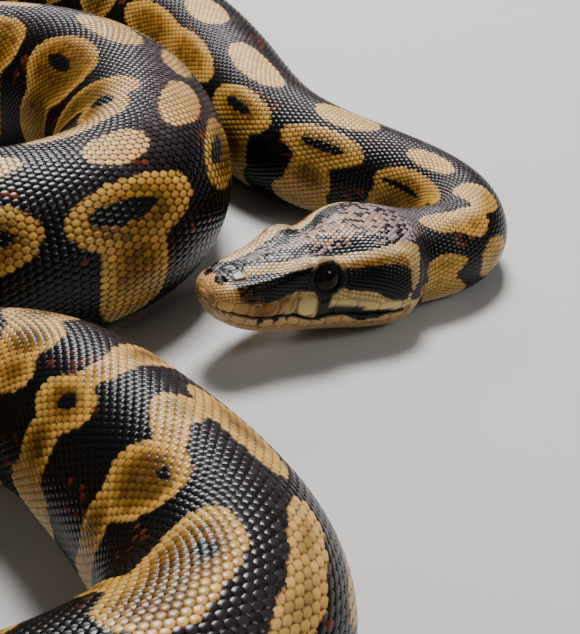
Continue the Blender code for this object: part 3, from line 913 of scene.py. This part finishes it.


# %% [markdown]
# ## The head's plates
#
# Most of a ball python's head is covered in grains hardly bigger than a millimetre, but larger plates lie
# over the snout, above the eyes and along the lips. The upper lip has ten a side and the lower lip thirteen.
# In life the first four upper ones carry the heat pits that sense warm prey. Here the pits are not
# modelled, and dark flecks are painted in their place, as painted shade of the pits.

# %% The head's plates
UPPER_LIP = [0.9, 3.2, 6.1, 9.1, 12.3, 16.1, 20.9, 24.2, 28.6, 33.2, 38.2]
UPPER_TALL = [1.9, 2.2, 2.5, 2.8, 3.6, 4.6, 3.8, 3.1, 2.8, 2.5, 2.2]
LOWER_LIP = [0.9, 3.4, 6.2, 9.2, 12.3, 14.6, 17.4, 20.4, 23.4, 26.5, 29.8, 33.2, 36.6, 40.0]
LOWER_TALL = [1.6, 2.0] + [2.3] * 12
LIP_GAP = 0.28
NOSE_PLATES = [[(-2.4, 6.9), (2.4, 6.9), (2.7, 4.3), (-2.7, 4.3)],
               [(-1.9, 3.6), (1.9, 3.6), (1.5, 2.0), (-1.5, 2.0)]]
CROWN_PLATES = [[(4.9, 1), (4.7, 24), (7.4, 26), (7.7, 1)], [(18.0, 33), (18.2, 42), (25.4, 44), (25.0, 35)]]
EYE_PLATES = 12
PLATES_END, EYE_CLEAR, NOSTRIL_CLEAR = 44, 3.5 * MM, 0.85 * MM
EYE_PLATE_IN, EYE_PLATE_OUT = 3.25, 4.35


def around_the_eye():
    """The ring of small plates about the left eye."""
    _, along, around, _ = patch(np.array(EYE_STATION), np.array(EYE_ANGLE))
    long, wide = np.linalg.norm(along), np.linalg.norm(around)
    plates = []
    for k in range(EYE_PLATES):
        corners = []
        for share, reach in ((0, EYE_PLATE_IN), (1, EYE_PLATE_IN), (1, EYE_PLATE_OUT), (0, EYE_PLATE_OUT)):
            turn = 2 * math.pi * (k + share) / EYE_PLATES
            corners.append((EYE_STATION / MM + reach * math.cos(turn) / long,
                            math.degrees(EYE_ANGLE + reach * MM * math.sin(turn) / wide)))
        plates.append(corners)
    return plates


def lip(stations, tall, up):
    """The plates along one lip of the left side, as corners."""
    s = np.array(stations) * MM
    mouth = mouth_angle(np.minimum(s, JAW_HINGE))
    _, _, around, _ = patch(s, mouth)
    radius = np.linalg.norm(around, axis=1)
    edge = np.degrees(mouth - up * LIP_GAP * MM / radius)
    far = np.degrees(mouth - up * (LIP_GAP + np.array(tall)) * MM / radius)
    return [[(stations[k], far[k]), (stations[k], edge[k]), (stations[k + 1], edge[k + 1]),
             (stations[k + 1] + 0.5, far[k + 1])] for k in range(len(stations) - 1)]


LEFT_PLATES = (CROWN_PLATES + around_the_eye() + lip(UPPER_LIP, UPPER_TALL, 1) +
               lip(LOWER_LIP, LOWER_TALL, -1))
RIGHT_PLATES = [[(s, -angle) for s, angle in corners] for corners in LEFT_PLATES]
HEAD_PLATES = np.array(LEFT_PLATES + RIGHT_PLATES)
print("head plates:", len(HEAD_PLATES))


def nose_places():
    """Every point of the two plates at the tip, one above the mouth and one below it, given across and up."""
    across, up = np.moveaxis(spread_plates(NOSE_PLATES), -1, 0) * MM
    angle = np.arctan2(across, up - SNOUT_CENTRE)
    wide, high = section(np.full(angle.shape, SNOUT_ROUNDING), angle)
    shrink = np.clip(np.hypot(across, up - SNOUT_CENTRE) / np.hypot(wide, high - SNOUT_CENTRE), 0, 0.98)
    s = SNOUT_ROUNDING * (1 - np.sqrt(1 - shrink ** 2))
    return np.stack((s / MM, np.degrees(angle)), -1)


def covered(s, angle):
    """Which places, in mm and degrees, lie on a head plate, on an eye or on a nostril."""
    taken = np.zeros(len(s), bool)
    near = s < PLATES_END
    for corners in HEAD_PLATES:
        inside = near.copy()
        for k in range(4):
            (s0, a0), (s1, a1) = corners[k], corners[(k + 1) % 4]
            side = (s1 - s0) * (angle - a0) - (a1 - a0) * (s - s0)
            turn = np.sign(np.cross(corners[1] - corners[0], corners[2] - corners[1]))
            inside &= side * turn > 0
        taken |= inside
    taken |= eye_distance(s * MM, np.radians(angle)) < EYE_CLEAR
    taken |= nostril_distance(s * MM, np.radians(angle)) < NOSTRIL_CLEAR
    mouth = lip_level(s)
    taken |= (np.abs(np.abs(angle) - mouth) < 5) & (s < 41) & (s > 0.8)
    across, height = (line / MM for line in section(s * MM, np.radians(angle)))
    return taken | ((s < 3) & (np.abs(across) < 3.0) & (height < 7.1) & (height > 1.4))


# %% [markdown]
# ## Laying the coat
#
# Every scale is one copy of a shape, laid on the surface at its root. Tens of thousands of them are joined
# in arrays, because one object for each would be slow. Each scale is also given its patch on the unrolled
# skin. The pieces stay under 200,000 triangles.

# %% Laying the coat
PATCH = 0.003
PER_PIECE = 11000
EDGE_BLEND = 0.6
COAT_SEED, FLOOR_GAP = 7, 0.02 * MM


def coat_mesh(name, points, roots, spots, triangles, colours):
    """A joined mesh of many copies of one shape. Every array but roots has one row for each point."""
    count, size = points.shape[:2]
    mesh = bpy.data.meshes.new(name)
    mesh.vertices.add(count * size)
    mesh.vertices.foreach_set("co", points.reshape(-1).astype(np.float32))
    corners = (triangles[None] + np.arange(count)[:, None, None] * size).reshape(-1)
    mesh.loops.add(len(corners))
    mesh.loops.foreach_set("vertex_index", corners.astype(np.int32))
    mesh.polygons.add(len(corners) // 3)
    mesh.polygons.foreach_set("loop_start", np.arange(0, len(corners), 3, dtype=np.int32))
    mesh.update(calc_edges=True)
    paint(mesh, colours.reshape(-1, 3))
    flat = np.clip(roots[:, None, :], PATCH / 2, 1 - PATCH / 2) + spots[None] * PATCH / 2
    layer = mesh.uv_layers.new(name="OFBake")
    layer.data.foreach_set("uv", flat.reshape(-1, 2)[corners].astype(np.float32).ravel())
    return mesh


def lay_small_scales():
    chance = np.random.default_rng(COAT_SEED)
    kept = places[~covered(places[:, 0], np.degrees(places[:, 1]))]
    s, angle, gap, step = kept.T
    luck, tone = chance.random(len(s)), 0.86 + 0.28 * chance.random(len(s))
    there, along, around, out = patch(s * MM, angle)
    least = np.maximum(np.linalg.norm(along, axis=1), 0.72) / np.linalg.norm(along, axis=1)
    depth = coat_depth(s * MM)
    forward, sideways = SCALE[:, 0] * (gap * least)[:, None], SCALE[:, 1] * step[:, None]
    points = (there[:, None] + along[:, None] * forward[..., None] + around[:, None] * sideways[..., None] +
              out[:, None] * ((SCALE[:, 2] - 1) * depth[:, None])[..., None])
    points[..., 2] = np.maximum(points[..., 2], FLOOR_GAP)
    roots = unrolled(s, np.degrees(angle))
    spots = SCALE[:, :2] / (ROOT_REACH + TIP_REACH) * 2 * 0.98
    for part, first in enumerate(range(0, len(s), PER_PIECE)):
        these = slice(first, first + PER_PIECE)
        colour = animal_colour(s[these, None] + EDGE_BLEND * forward[these] / MM,
                               np.degrees(angle[these, None] + EDGE_BLEND * sideways[these]),
                               luck[these, None])
        colour = colour * SCALE_SHADE * tone[these, None, None]
        name = f"scales_{part + 1}"
        mesh = coat_mesh(name, points[these], roots[these], spots, SCALE_TRIANGLES, colour)
        finish_piece(name, mesh, SCALE_FINISH)
    return len(s)


print("small scales:", lay_small_scales())

# %% [markdown]
# ## Laying the plates
#
# The belly has one broad scale for every three rings of small ones, running across from flank to flank.
# They lie flat where the animal rests on the floor. Under the tail they come in pairs.

# %% Laying the plates
SCUTE_RINGS, SCUTE_OVERLAP = 3, 1.16
TAIL_PAIRS = 955


def belly_plates():
    """The corners of the belly scales, and behind the vent of the pairs under the tail."""
    plates, s = [], 50.0
    while s < LAST_RING - 2:
        gap = SCUTE_RINGS * between(s, RING_GAP)
        half = BELLY_HALF + 1.5
        end = min(s + gap * SCUTE_OVERLAP, LAST_RING + 1)
        cuts = (180 - half, 180 + half) if s < TAIL_PAIRS else (180 - half, 179.4, 180.6, 180 + half)
        for a, b in zip(cuts[::2], cuts[1::2]):
            plates.append([(s, a), (s, b), (end, b), (end, a)])
        s += gap
    return np.array(plates)


def lay_plates(name, places, rise):
    """One coat piece from the points of its plates. rise scales their height."""
    chance = np.random.default_rng(len(places))
    s, angle = places[..., 0], places[..., 1]
    there, _, _, out = patch(s * MM, np.radians(angle))
    depth = coat_depth(s * MM)
    points = there + out * ((PLATE_HEIGHT[None] * rise - 1) * depth)[..., None]
    points[..., 2] = np.maximum(points[..., 2], 0.0)
    luck = np.broadcast_to(chance.random((len(s), 1)), s.shape)
    colour = animal_colour(s, angle, luck) * (0.9 + 0.2 * luck)[..., None] * PLATE_SHADE[None, :, None]
    roots = unrolled(s.mean(1), angle.mean(1))
    mesh = coat_mesh(name, points, roots, PLATE * 0.98, PLATE_TRIANGLES, colour)
    return finish_piece(name, mesh, SCALE_FINISH)


lay_plates("head_plates", np.concatenate((spread_plates(HEAD_PLATES), nose_places())), 1.1)
lay_plates("belly_scales", spread_plates(belly_plates()), 0.95)

# %% [markdown]
# ## The eyes
#
# Each eye is a ball set deep in the head, so that only its outer cap shows. The clear scale over it is what
# shines. The iris is a very dark brown, and the pupil is an upright slit that closes to a line by day.

# %% The eyes
EYE_SEGMENTS = 48
SLIT_WIDE, SLIT_TALL, IRIS_FRONT = 0.55 * MM, 2.3 * MM, 2.2 * MM
IRIS, PUPIL = map(linear, ("#160d08", "#020202"))


def make_eye(name, side):
    """A ball in its socket: the iris faces outwards and the slit stands upright in the head."""
    middle, outward = EYE_FRAMES[0 if side > 0 else 1]
    form = bmesh.new()
    bmesh.ops.create_uvsphere(form, u_segments=EYE_SEGMENTS, v_segments=EYE_SEGMENTS // 2, radius=EYE_RADIUS)
    place = np.array([vert.co for vert in form.verts])
    up = unit(HEAD_UP - (HEAD_UP @ outward) * outward)
    along = np.cross(up, outward)
    slit = np.hypot(place[:, 0] / SLIT_WIDE, place[:, 1] / SLIT_TALL) < 1
    for vert, (x, y, z) in zip(form.verts, place):
        vert.co = middle + along * x + up * y + outward * z
    bmesh.ops.recalc_face_normals(form, faces=form.faces)
    mesh = mesh_of(form, name)
    paint(mesh, np.where(slit[:, None], PUPIL, IRIS * (place[:, 2:] > IRIS_FRONT) + PUPIL))
    piece = finish_piece(name + "_ball", mesh, EYE_FINISH)
    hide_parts(name)


EYE_FINISH, eye_tree, eye_shader = new_finish("clear_eye_cap", IOR=1.38, Roughness=0.05,
                                              Specular_IOR_Level=0.2)
eye_paint = add_node(eye_tree, "ShaderNodeAttribute", {"attribute_name": "markings"}).outputs["Color"]
eye_tree.links.new(eye_paint, eye_shader.inputs["Base Color"])
make_eye("eye_left", 1)
make_eye("eye_right", -1)

# %% [markdown]
# ## The studio
#
# A plain pale floor and soft light. The key, the strongest panel, hangs above and a little behind the
# animal, so that every scale of the back catches it. A low panel behind draws the edges, a small one on the
# right puts a light in the eye, a weak one fills from the front left, and the pale world does the rest.

# %% The studio
FLOOR_COLOUR = linear("#c9c7c4")
WORLD_COLOUR, WORLD_STRENGTH = (0.8, 0.82, 0.85, 1), 0.12


def add_panel(name, place, target, size, power):
    """A square soft light of the given size and power that faces its target."""
    light = bpy.data.lights.new(name, "AREA")
    light.shape = "SQUARE"
    light.size, light.energy = size, power
    panel = add_object(name, light)
    panel.location = place
    way = np.array(target) - np.array(place)
    panel.rotation_euler = (math.acos(-way[2] / np.linalg.norm(way)), 0, math.atan2(-way[0], way[1]))


form = bmesh.new()
bmesh.ops.create_grid(form, x_segments=1, y_segments=1, size=4.0)
bmesh.ops.translate(form, verts=form.verts, vec=(0, 0, -FLOOR_GAP))
floor_mesh = mesh_of(form, "floor")
floor = add_object("floor", floor_mesh)
floor_finish, _, floor_shader = new_finish("matt_paper", Roughness=0.8)
floor_shader.inputs["Base Color"].default_value = (*FLOOR_COLOUR, 1)
floor_mesh.materials.append(floor_finish)
add_panel("key", (0.06, 0.34, 0.72), (0, 0, 0), 0.24, 10.5)
add_panel("rim", (-0.1, 0.75, 0.4), (0, 0, 0), 0.15, 1.5)
add_panel("catchlight", (0.57, -0.24, 0.44), (0.06, 0, 0), 0.17, 1)
add_panel("fill", (-0.5, -0.8, 0.55), (0, 0, 0), 0.5, 0.6)
world = bpy.data.worlds.new("studio")
world.use_nodes = True
world.node_tree.nodes["Background"].inputs["Color"].default_value = WORLD_COLOUR
world.node_tree.nodes["Background"].inputs["Strength"].default_value = WORLD_STRENGTH
bpy.context.scene.world = world
